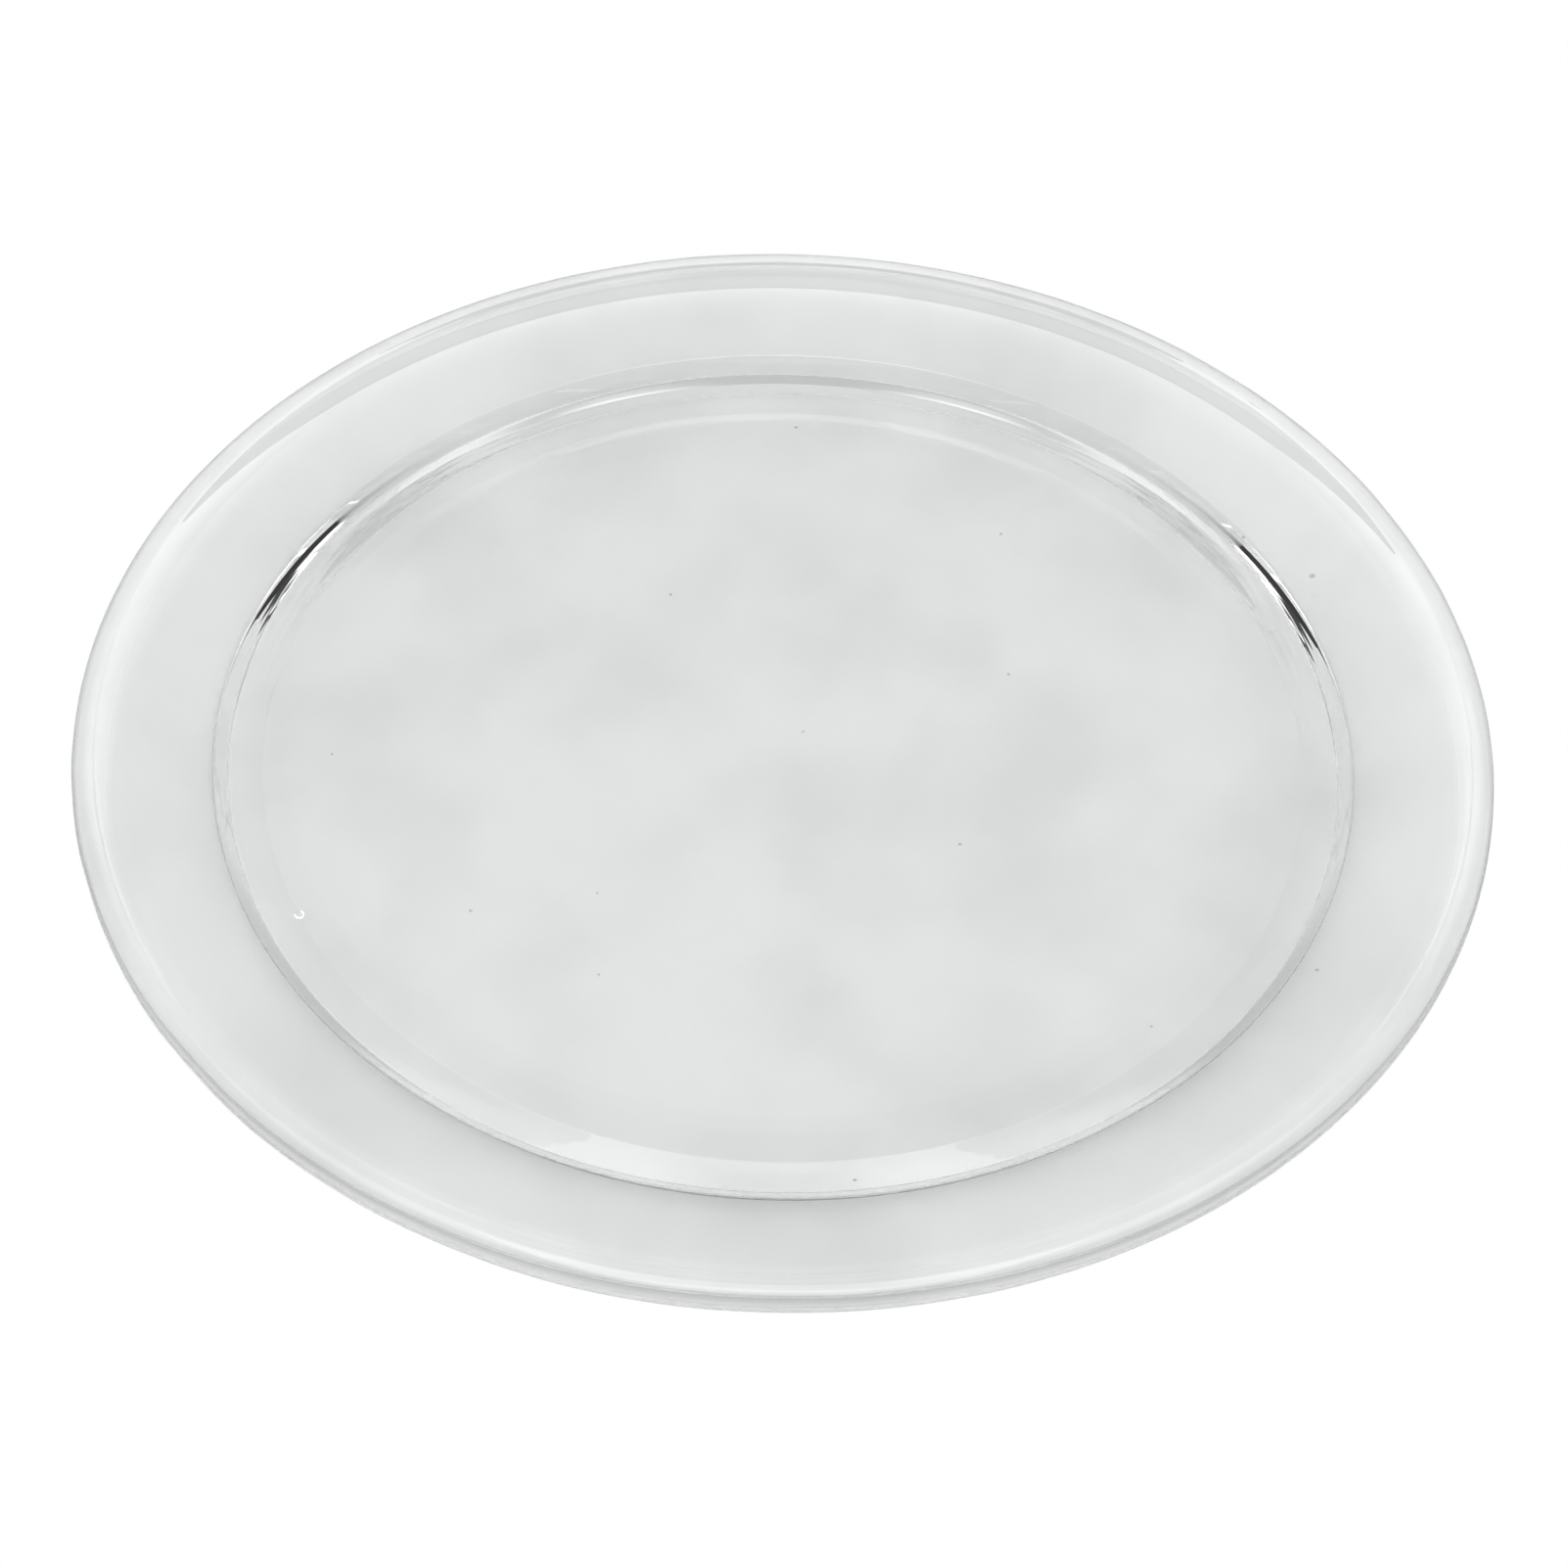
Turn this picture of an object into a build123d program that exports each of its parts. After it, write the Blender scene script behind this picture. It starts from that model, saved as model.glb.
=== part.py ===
from build123d import *
import os
from math import asin, atan2, cos, hypot, radians, sin, tan

# Clear pressed-glass turntable tray of a microwave oven, standing on its foot rail.
# One solid, turned about Z, with the origin on the table under its centre.

# Overall sizes
tray_diameter = 245.0
tray_height = 13.6

# Flat floor and the cove that lifts it into the flange
floor_diameter = 160.0
floor_thickness = 4.6
cove_radius = 45.0

# Sloping flange and its thickened, rounded rim
flange_thickness = 5.0
rim_thickness = 6.0
rim_top_radius = 3.0
rim_bottom_radius = 2.6
rim_blend_radius = 7.0

# Parting line of the mould, a fine ridge on top of the flange, just inside the rim's rounding
parting_gap = 0.3
parting_width = 0.45
parting_height = 0.12

# Foot rail that stands on the table, set out from the floor's edge, with the roller ring's wheels inside it
rail_outset = 17.5
rail_width = 6.1
rail_height = 1.2
rail_bulge = 0.15
rail_draft = 28.0

# Small pressed nub in the rail's inner corner
nub_diameter = 1.8
nub_height = 0.6
nub_azimuth = 208.0

rim_radius = tray_diameter / 2
floor_radius = floor_diameter / 2
floor_height = rail_height + floor_thickness

# The flange's slope is the line that touches both the cove and the rim's top rounding
centres_run = rim_radius - rim_top_radius - floor_radius
centres_rise = tray_height - rim_top_radius - floor_height - cove_radius
centres_apart = hypot(centres_run, centres_rise)
flange_slope = atan2(centres_rise, centres_run) + asin((cove_radius + rim_top_radius) / centres_apart)
flange_start_radius = floor_radius + cove_radius * tan(flange_slope / 2)
flange_drop = flange_thickness / cos(flange_slope)


def flange_top(radius):
    """Height of the flange's upper face at a radius."""
    return floor_height + (radius - flange_start_radius) * tan(flange_slope)


def flange_radius_below(height):
    """Radius at which the flange's lower face reaches a height."""
    return flange_start_radius + (height + flange_drop - floor_height) / tan(flange_slope)


# The parting line keeps its gap from where the rim's rounding starts
rounding_start_radius = rim_radius - rim_top_radius * (1 + sin(flange_slope))
parting_outside = rounding_start_radius - parting_gap
parting_radius = parting_outside - parting_width / 2
parting_inside = parting_outside - parting_width

# The rail's outer wall leans out to meet the flange's lower face
rim_underside = tray_height - rim_thickness
rail_outer_radius = floor_radius + rail_outset
rail_inner_radius = rail_outer_radius - rail_width
rail_middle_radius = rail_outer_radius - rail_width / 2
rail_middle_height = rail_height / 2 - rail_bulge
wall_lean = tan(radians(rail_draft))
flange_underside = flange_top(rail_outer_radius) - flange_drop
wall_top_height = flange_underside / (1 - wall_lean * tan(flange_slope))
wall_top_radius = rail_outer_radius + wall_top_height * wall_lean

# Corners of the section from the axis over the top and back underneath, with their roundings
corners = [
    ((flange_start_radius, floor_height), cove_radius),
    ((parting_inside, flange_top(parting_inside)), 0),
    ((parting_radius, flange_top(parting_radius) + parting_height), 0),
    ((parting_outside, flange_top(parting_outside)), 0),
    ((rim_radius, flange_top(rim_radius)), rim_top_radius),
    ((rim_radius, rim_underside), rim_bottom_radius),
    ((flange_radius_below(rim_underside), rim_underside), rim_blend_radius),
    ((wall_top_radius, wall_top_height), 0),
    ((rail_outer_radius, 0), 0),
    ((rail_middle_radius, rail_middle_height), 0),
    ((rail_inner_radius, rail_height), 0),
]
floor_centre = (0, floor_height)
base_centre = (0, rail_height)
route = [floor_centre] + [point for point, rounding in corners] + [base_centre]
roundings = [rounding for point, rounding in corners]
outline = FilletPolyline(*route, radius=roundings) + Line(base_centre, floor_centre)
section = Plane.XZ * make_face(outline.edges())
tray = revolve(section, Axis.Z)

# Nub, half of its length buried in the rail's inner corner
nub_angle = radians(nub_azimuth)
nub_place = Pos(
    rail_inner_radius * cos(nub_angle),
    rail_inner_radius * sin(nub_angle),
    rail_height,
)
tray += nub_place * Cylinder(nub_diameter / 2, 2 * nub_height)

os.makedirs("parts", exist_ok=True)
export_step(tray, "parts/glass_tray.step")
print(f"flange slope {flange_slope:.4f} rad, volume {tray.volume / 1000:.1f} cm3, box {tray.bounding_box()}")
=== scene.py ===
import math

import bpy
from mathutils import Matrix, Vector


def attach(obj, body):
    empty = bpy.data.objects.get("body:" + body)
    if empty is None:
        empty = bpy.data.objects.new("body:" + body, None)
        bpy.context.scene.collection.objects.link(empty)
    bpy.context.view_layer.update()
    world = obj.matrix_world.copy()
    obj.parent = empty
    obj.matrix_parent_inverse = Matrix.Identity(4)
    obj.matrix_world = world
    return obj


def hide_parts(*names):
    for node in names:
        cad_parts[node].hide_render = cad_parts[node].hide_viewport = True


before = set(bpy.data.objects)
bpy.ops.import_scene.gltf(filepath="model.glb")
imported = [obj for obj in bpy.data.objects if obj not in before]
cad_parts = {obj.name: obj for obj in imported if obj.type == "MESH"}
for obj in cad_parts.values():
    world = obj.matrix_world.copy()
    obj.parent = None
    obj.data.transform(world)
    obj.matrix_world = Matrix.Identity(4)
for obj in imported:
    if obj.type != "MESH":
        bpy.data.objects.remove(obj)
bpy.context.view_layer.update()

# %% [markdown]
# # A pressed-glass tray
# This is the round glass tray that turns in a microwave oven. It is one piece of clear soda-lime glass, pressed in a
# mould, so there is one piece to model. The CAD part gives its size. It is loaded first, and hidden once the glass tray
# takes its place. The visual model has to stay in that box.

# %% A millimetre
MM = 0.001

# %% [markdown]
# # The section
# Glass shows every change of slope, so the section decides the look of the whole tray. It could be copied from the CAD
# mesh, but that has flat facets, which glass would show as stripes. The section is worked out again from the tray's own
# sizes, and each rounding gets enough short steps to look round.

# %% Sizes of the section, in millimetres
rim_radius = 122.5
tray_height = 13.6
floor_radius = 80.0
floor_thickness = 4.6
cove_radius = 45.0
flange_thickness = 5.0
rim_thickness = 6.0
rim_top_radius = 3.0
rim_bottom_radius = 2.6
rim_blend_radius = 7.0
parting_gap = 0.3
parting_width = 0.45
parting_height = 0.12
rail_outer_radius = 97.5
rail_width = 6.1
rail_height = 1.2
rail_bulge = 0.15
rail_flank_radius = 50.0
rail_edge_radius = 0.15
rail_blend_radius = 1.0
rail_corner_radius = 0.4
rail_lean = math.tan(math.radians(28))

floor_height = rail_height + floor_thickness
centres_run = rim_radius - rim_top_radius - floor_radius
centres_rise = tray_height - rim_top_radius - floor_height - cove_radius
centres_apart = math.hypot(centres_run, centres_rise)
slope = math.atan2(centres_rise, centres_run) + math.asin((cove_radius + rim_top_radius) / centres_apart)
rise = math.tan(slope)
flange_start = floor_radius + cove_radius * math.tan(slope / 2)
flange_drop = flange_thickness / math.cos(slope)


def flange_top(radius):
    """Height of the flange's upper face at a radius."""
    return floor_height + (radius - flange_start) * rise


rim_underside = tray_height - rim_thickness
blend_radius = flange_start + (rim_underside + flange_drop - floor_height) / rise
wall_top = (flange_top(rail_outer_radius) - flange_drop) / (1 - rail_lean * rise)
rail_inner_radius = rail_outer_radius - rail_width
parting_out = rim_radius - rim_top_radius * (1 + math.sin(slope)) - parting_gap
parting_radius = parting_out - parting_width / 2
parting_in = parting_out - parting_width
print("flange slope in degrees:", round(math.degrees(slope), 2))

# %% Corners of the section, each with its rounding
corners = [
    (flange_start, floor_height, cove_radius),
    (parting_in, flange_top(parting_in), 0),
    (parting_radius, flange_top(parting_radius) + parting_height, 0),
    (parting_out, flange_top(parting_out), 0),
    (rim_radius, flange_top(rim_radius), rim_top_radius),
    (rim_radius, rim_underside, rim_bottom_radius),
    (blend_radius, rim_underside, rim_blend_radius),
    (rail_outer_radius + wall_top * rail_lean, wall_top, rail_blend_radius),
    (rail_outer_radius, 0, rail_edge_radius),
    (rail_outer_radius - rail_width / 2, rail_height / 2 - rail_bulge, rail_flank_radius),
    (rail_inner_radius, rail_height, rail_corner_radius),
]
ends = [Vector((0, floor_height)), Vector((0, rail_height))]


def rounded(before, corner, after, radius, turn_step=math.radians(6)):
    """Points along the arc that rounds a corner, or the corner itself."""
    if not radius:
        return [corner]
    back = (before - corner).normalized()
    on = (after - corner).normalized()
    half = back.angle(on) / 2
    reach = radius / math.tan(half)
    centre = corner + (back + on).normalized() * radius / math.sin(half)
    first = corner + back * reach - centre
    last = corner + on * reach - centre
    turn = first.angle_signed(last)
    steps = max(3, math.ceil(abs(turn) / turn_step))
    return [centre + Matrix.Rotation(-turn * k / steps, 2) @ first for k in range(steps + 1)]


places = [ends[0]] + [Vector(corner[:2]) for corner in corners] + [ends[1]]
section = [ends[0]]
for k, corner in enumerate(corners):
    section += rounded(places[k], places[k + 1], places[k + 2], corner[2])
section.append(ends[1])

# Extra points close to the roundings keep the flat faces flat when they are shaded smooth
longest_step = 5.0
hold = 0.4
fine = [section[0]]
for a, b in zip(section, section[1:]):
    length = (b - a).length
    if length > 3 * hold:
        middle = length - 2 * hold
        parts = max(1, round(middle / longest_step))
        fine += [a + (b - a) * (hold + middle * k / parts) / length for k in range(parts + 1)]
    fine.append(b)
print("points in the section:", len(fine))

# %% [markdown]
# # Turning the section
# A lathe would turn such a shape, and Blender's Spin does the same. A plane is shrunk to one point on the axis, that
# point is extruded from corner to corner of the section, and the line is spun once round. Merging closes the seam and
# the two poles, and the normals are then made to point outwards.

# %% The section as a line of edges
bpy.ops.object.select_all(action="DESELECT")
bpy.ops.mesh.primitive_plane_add(size=MM, location=(0, 0, floor_height * MM))
tray = bpy.context.object
tray.name = "pressed_glass_tray"
bpy.ops.object.transform_apply(location=True, rotation=True, scale=True)
bpy.ops.object.mode_set(mode="EDIT")
bpy.ops.mesh.select_all(action="SELECT")
bpy.ops.mesh.merge(type="CENTER")
for a, b in zip(fine, fine[1:]):
    step = ((b.x - a.x) * MM, 0, (b.y - a.y) * MM)
    bpy.ops.mesh.extrude_region_move(TRANSFORM_OT_translate={"value": step})
print("edges in the line:", len(fine) - 1)

# %% The spin
turns = 360
merge_gap = 0.002
bpy.ops.mesh.select_all(action="SELECT")
bpy.ops.mesh.spin(steps=turns, angle=math.tau, center=(0, 0, 0), axis=(0, 0, 1))
bpy.ops.mesh.select_all(action="SELECT")
bpy.ops.mesh.remove_doubles(threshold=merge_gap * MM)
bpy.ops.mesh.normals_make_consistent(inside=False)
bpy.ops.object.mode_set(mode="OBJECT")
print("faces after the spin:", len(tray.data.polygons))

# %% [markdown]
# # Nub and uneven rim
# One small nub of the mould stands in the rail's inner corner. It is a ball joined to the tray with a boolean, so no
# face is left inside the glass. The rim of a pressed piece is never quite even, so a cloud texture moves it in and out
# by a fraction of a millimetre. Moving points by hand would do the same, but not as softly.

# %% Nub in the rail's inner corner
nub_angle = math.radians(208)
nub_radius = 1.0
nub_depth = 0.6
nub_across = (rail_inner_radius * math.cos(nub_angle), rail_inner_radius * math.sin(nub_angle))
nub_place = (*nub_across, rail_height - nub_depth + nub_radius)
bpy.ops.object.select_all(action="DESELECT")
bpy.ops.mesh.primitive_uv_sphere_add(
    segments=32, ring_count=16, radius=nub_radius * MM, location=[x * MM for x in nub_place]
)
nub = bpy.context.object
bpy.ops.object.transform_apply(location=True, rotation=True, scale=True)
bpy.ops.object.select_all(action="DESELECT")
tray.select_set(True)
bpy.context.view_layer.objects.active = tray
join = tray.modifiers.new("nub", "BOOLEAN")
join.operation = "UNION"
join.solver = "EXACT"
join.object = nub
bpy.ops.object.modifier_apply(modifier=join.name)
bpy.data.objects.remove(nub)
print("faces with the nub:", len(tray.data.polygons))

# %% Uneven rim
rim_width = 7.0
wave_height = 0.35
wave_length = 22
smooth_angle = 30
rim = tray.vertex_groups.new(name="rim")
for v in tray.data.vertices:
    share = (math.hypot(v.co.x, v.co.y) / MM - rim_radius + rim_width) / rim_width
    if share > 0:
        rim.add([v.index], min(1, share), "REPLACE")
clouds = bpy.data.textures.new("rim_wave", "CLOUDS")
clouds.noise_scale = wave_length * MM
for direction in ("X", "Y"):
    wave = tray.modifiers.new("wave", "DISPLACE")
    wave.texture = clouds
    wave.texture_coords = "LOCAL"
    wave.direction = direction
    wave.vertex_group = rim.name
    wave.mid_level = 0.5
    wave.strength = wave_height * MM
    bpy.ops.object.modifier_apply(modifier=wave.name)
bpy.ops.object.shade_smooth_by_angle(angle=math.radians(smooth_angle))
print("faces in the tray:", len(tray.data.polygons))

# %% [markdown]
# # The glass
# Pressed soda-lime glass has an IOR of 1.52 and a fire-polished surface, so it is clear and sharp. What the eye sees is
# the white board through it, a little greyer than outside, with rings where the section bends the light. Where the
# surface turns away from the eye, a painted shade greys the colour, so the edge shows against white. A used tray also
# has a faint haze from handling and a few specks of dirt. They could be painted on an image, but a noise and a few
# distances in the material need no file.

# %% Helpers for colours and nodes
def linear(hex_colour):
    """Linear RGBA of an sRGB hex colour."""
    channels = [int(hex_colour[k : k + 2], 16) / 255 for k in (0, 2, 4)]
    return [c / 12.92 if c <= 0.04045 else ((c + 0.055) / 1.055) ** 2.4 for c in channels] + [1]


def node(tree, kind, links=None, inputs=None, **settings):
    """Adds a node with its settings, its input values and its links from other sockets."""
    made = tree.nodes.new(kind)
    for name, value in settings.items():
        setattr(made, name, value)
    for key, value in (inputs or {}).items():
        made.inputs[key].default_value = value
    for key, source in (links or {}).items():
        tree.links.new(source, made.inputs[key])
    return made


# %% Fire-polished soda-lime glass
# Clear with a faint haze from handling, and a painted shade that turns the colour grey where the surface turns away
# from the eye, so the edge shows against white
glass = bpy.data.materials.new("fire_polished_soda_lime_glass")
glass.use_nodes = True
melt = glass.node_tree
clear = melt.nodes["Principled BSDF"]
clear.inputs["Roughness"].default_value = 0
clear.inputs["IOR"].default_value = 1.52
spot = node(melt, "ShaderNodeTexCoord").outputs["Object"]
haze_size = 30
haze = node(melt, "ShaderNodeTexNoise", {"Vector": spot}, {"Scale": 1 / (haze_size * MM), "Detail": 3})
smudge = node(melt, "ShaderNodeMapRange", {"Value": haze.outputs[0]}, {"From Min": 0.42, "From Max": 0.68})
clean_and_smudged = {6: linear("FDFEFE"), 7: linear("F6F7F7")}
body = node(melt, "ShaderNodeMix", {0: smudge.outputs[0]}, clean_and_smudged, data_type="RGBA")
# Painted shade: grey is mixed into the colour where the surface grazes the view, drawing the dark outline of the rim
turned = node(melt, "ShaderNodeLayerWeight").outputs["Facing"]
painted_shade_mask = node(melt, "ShaderNodeMapRange", {"Value": turned}, {"From Min": 0.45, "From Max": 0.95})
painted_edge_shade = {7: linear("8A908F")}
edge_shaded_colour = node(melt, "ShaderNodeMix", {0: painted_shade_mask.outputs[0], 6: body.outputs[2]}, painted_edge_shade, data_type="RGBA")
print("haze in mm:", haze_size)

# %% Specks of dirt on the upper face
# Each speck: place in millimetres on the upper face and radius
specks = [
    (83.3, 49.6, 8.5, 0.3), (88.3, -53.5, 10.0, 0.35), (61.0, -63.4, 6.5, 0.25), (30.4, -24.6, 5.8, 0.25),
    (12.9, -97.1, 8.7, 0.35), (-30.6, -37.6, 5.8, 0.25), (-29.4, -55.1, 5.8, 0.25), (-51.5, -42.2, 5.8, 0.3),
    (3.3, 0.5, 5.8, 0.25), (0.7, 79.1, 5.8, 0.3), (-21.2, 33.4, 5.8, 0.25), (39.6, 15.8, 5.8, 0.25),
    (39.0, 51.5, 5.8, 0.25), (-78.3, -7.8, 5.8, 0.25), (94.9, 38.6, 9.8, 0.6),
]
outer_share, inner_share, thickest = 1.3, 0.5, 0.8
dirt = None
for x, y, z, radius in specks:
    centre = (x * MM, y * MM, z * MM)
    gap = node(melt, "ShaderNodeVectorMath", {0: spot}, {1: centre}, operation="DISTANCE").outputs["Value"]
    fade = {"From Min": outer_share * radius * MM, "From Max": inner_share * radius * MM, "To Max": thickest}
    mark = node(melt, "ShaderNodeMapRange", {"Value": gap}, fade).outputs[0]
    dirt = mark if dirt is None else node(melt, "ShaderNodeMath", {0: dirt, 1: mark}, operation="MAXIMUM").outputs[0]
# The colour below holds the real specks of dirt and the painted edge shade together
dirt_and_edge_shade = node(melt, "ShaderNodeMix", {0: dirt, 6: edge_shaded_colour.outputs[2]}, {7: linear("6E6C69")}, data_type="RGBA")
open_glass = node(melt, "ShaderNodeMath", {1: dirt}, {0: 1.0}, operation="SUBTRACT")
melt.links.new(dirt_and_edge_shade.outputs[2], clear.inputs["Base Color"])
melt.links.new(open_glass.outputs[0], clear.inputs["Transmission Weight"])
print("specks on the glass:", len(specks))

# %% The glass on the tray
tray.data.materials.append(glass)
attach(tray, "root")
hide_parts("glass_tray")
print("material on the tray:", glass.name)

# %% [markdown]
# # The board and the floor
# The tray stands on a round white board, a little wider than itself, on a pale floor. Seen directly both are plain
# white. Seen through the glass they keep the light and the shadow that fall on them, so only part of their brightness
# is their own there. The rim bends the eye's ray past the board to the floor, which is why it is greyer at the back.

# %% A matt stage that is white to the camera
own_share = 0.1


def matt_stage(thing, name, colour):
    """Gives a matt material that is white to the camera."""
    made = bpy.data.materials.new(name)
    made.use_nodes = True
    paint = made.node_tree
    paint.nodes.remove(paint.nodes["Principled BSDF"])
    path = node(paint, "ShaderNodeLightPath").outputs
    part = {1: own_share}
    through = node(paint, "ShaderNodeMath", {0: path["Is Transmission Ray"]}, part, operation="MULTIPLY").outputs[0]
    glossy = {0: path["Is Glossy Ray"], 2: through}
    mirrored = node(paint, "ShaderNodeMath", glossy, part, operation="MULTIPLY_ADD").outputs[0]
    share = node(paint, "ShaderNodeMath", {0: path["Is Camera Ray"], 1: mirrored}, operation="MAXIMUM").outputs[0]
    matt = node(paint, "ShaderNodeBsdfDiffuse", inputs={"Color": linear(colour)}).outputs[0]
    own = node(paint, "ShaderNodeEmission", inputs={"Color": linear("FFFFFF")}).outputs[0]
    both = node(paint, "ShaderNodeMixShader", {0: share, 1: matt, 2: own})
    paint.links.new(both.outputs[0], paint.nodes["Material Output"].inputs["Surface"])
    thing.data.materials.append(made)


# %% White board on a pale floor
board_radius = 127
board_gap = 0.02
floor_drop = 40
floor_size = 8000
bpy.ops.object.select_all(action="DESELECT")
bpy.ops.mesh.primitive_circle_add(
    vertices=128, radius=board_radius * MM, fill_type="NGON", location=(0, 0, -board_gap * MM)
)
board = bpy.context.object
board.name = "board"
matt_stage(board, "white_board_laminate", "EDEDED")
bpy.ops.object.select_all(action="DESELECT")
bpy.ops.mesh.primitive_plane_add(size=floor_size * MM, location=(0, 0, -floor_drop * MM))
ground = bpy.context.object
ground.name = "floor"
matt_stage(ground, "pale_floor_paint", "BEBEBE")
print("board radius in mm:", board_radius)

# %% [markdown]
# # The light
# Glass shows its surroundings, so they are plain and soft. A world could be one even white, but then the glass has no
# shading at all. Here it is an even grey, lighter near the horizon, with a weak soft box behind the tray, which the
# floor mirrors, and stronger ones in front and high on the left and right. A soft lamp hangs above the front. Most of
# the light comes from above, so the foot throws its shadow under the flange.

# %% Soft surround
scene = bpy.context.scene
world = bpy.data.worlds.new("soft_studio")
scene.world = world
world.use_nodes = True
sky = world.node_tree
look = node(sky, "ShaderNodeTexCoord").outputs["Generated"]
height = node(sky, "ShaderNodeSeparateXYZ", {0: look}).outputs["Z"]
even_grey = {"From Min": 0.1, "From Max": 0.5, "To Min": 0.74, "To Max": 0.55}
level = node(sky, "ShaderNodeMapRange", {"Value": height}, even_grey, interpolation_type="SMOOTHSTEP")
total = level.outputs["Result"]

# %% Soft boxes in the surround
# Each soft box: bearing from straight behind, height, half sizes along X, Y and Z in degrees, and strength
soft_boxes = [
    (0, 54, (40, 17, 17), 0.35),
    (180, 50, (25, 25, 25), 2.2),
    (90, 68, (20, 35, 20), 1.8),
    (-90, 68, (20, 35, 20), 1.8),
]
even_share = 0.4
for bearing, raised, half_sizes, strength in soft_boxes:
    bearing, raised = math.radians(bearing), math.radians(raised)
    level_reach = math.cos(raised)
    middle = Vector((math.sin(bearing) * level_reach, math.cos(bearing) * level_reach, math.sin(raised)))
    reach = [1 / math.sin(math.radians(half)) for half in half_sizes]
    off = node(sky, "ShaderNodeVectorMath", {0: look}, {1: middle}, operation="SUBTRACT").outputs[0]
    scaled = node(sky, "ShaderNodeVectorMath", {0: off}, {1: reach}, operation="MULTIPLY").outputs[0]
    far = node(sky, "ShaderNodeVectorMath", {0: scaled}, operation="LENGTH").outputs["Value"]
    fade = {"From Min": 1, "From Max": even_share, "To Min": 0, "To Max": strength}
    glow = node(sky, "ShaderNodeMapRange", {"Value": far}, fade, interpolation_type="SMOOTHSTEP").outputs["Result"]
    total = node(sky, "ShaderNodeMath", {0: total, 1: glow}, operation="ADD").outputs[0]
seen = node(sky, "ShaderNodeLightPath").outputs["Is Camera Ray"]
white = node(sky, "ShaderNodeMix", {"Factor": seen, "A": total}, {"B": 1.0})
sky.nodes["Background"].inputs["Color"].default_value = linear("FFFFFF")
sky.links.new(white.outputs[0], sky.nodes["Background"].inputs["Strength"])
print("soft boxes:", len(soft_boxes))

# %% Enough bounces for light that stays long in the glass
glass_bounces = 32
scene.cycles.max_bounces = glass_bounces
scene.cycles.transmission_bounces = glass_bounces
scene.cycles.glossy_bounces = glass_bounces
print("bounces:", glass_bounces)

# %% Soft lamp above the front
lamp_size = 0.7
lamp_power = 3.0
lamp_place = Vector((0, -0.35, 0.8))
lamp = bpy.data.lights.new("soft_lamp", "AREA")
lamp.shape = "RECTANGLE"
lamp.size, lamp.size_y = lamp_size, lamp_size
lamp.energy = lamp_power
holder = bpy.data.objects.new("soft_lamp", lamp)
holder.location = lamp_place
holder.rotation_euler = lamp_place.to_track_quat("Z", "Y").to_euler()
scene.collection.objects.link(holder)
print("lamp power in watts:", lamp_power)

# %% [markdown]
# # The camera
# The camera looks down from the front at about 47 degrees from 0.6 m away, which is read from how the rim and the
# parting line lie in the photograph. It could be tilted by hand, but its few angles are turned one after the other, so
# that each can be read.

# %% Camera
distance = 5 * rim_radius
aim_height = 13.32
focal_pixels, photo_pixels, sensor_width = 3612, 1602, 36
elevation, pitch, roll, yaw = (math.radians(a) for a in (46.77, 1.30, 1.54, 0.02))
stand = Vector((0, -math.cos(elevation), math.sin(elevation)))
ahead, right = -stand, Vector((1, 0, 0))
up = right.cross(ahead)
ahead, up = math.cos(pitch) * ahead - math.sin(pitch) * up, math.cos(pitch) * up + math.sin(pitch) * ahead
ahead, right = math.cos(yaw) * ahead + math.sin(yaw) * right, math.cos(yaw) * right - math.sin(yaw) * ahead
right, up = math.cos(roll) * right + math.sin(roll) * up, math.cos(roll) * up - math.sin(roll) * right
lens = bpy.data.cameras.new("camera")
lens.sensor_width = sensor_width
lens.lens = sensor_width * focal_pixels / photo_pixels
lens.clip_start = 0.01
camera = bpy.data.objects.new("camera", lens)
camera.matrix_world = Matrix((right, up, -ahead)).transposed().to_4x4()
camera.matrix_world.translation = (stand * distance + Vector((0, 0, aim_height))) * MM
scene.collection.objects.link(camera)
scene.camera = camera
scene.view_settings.view_transform = "Standard"
print("camera distance in mm:", distance)
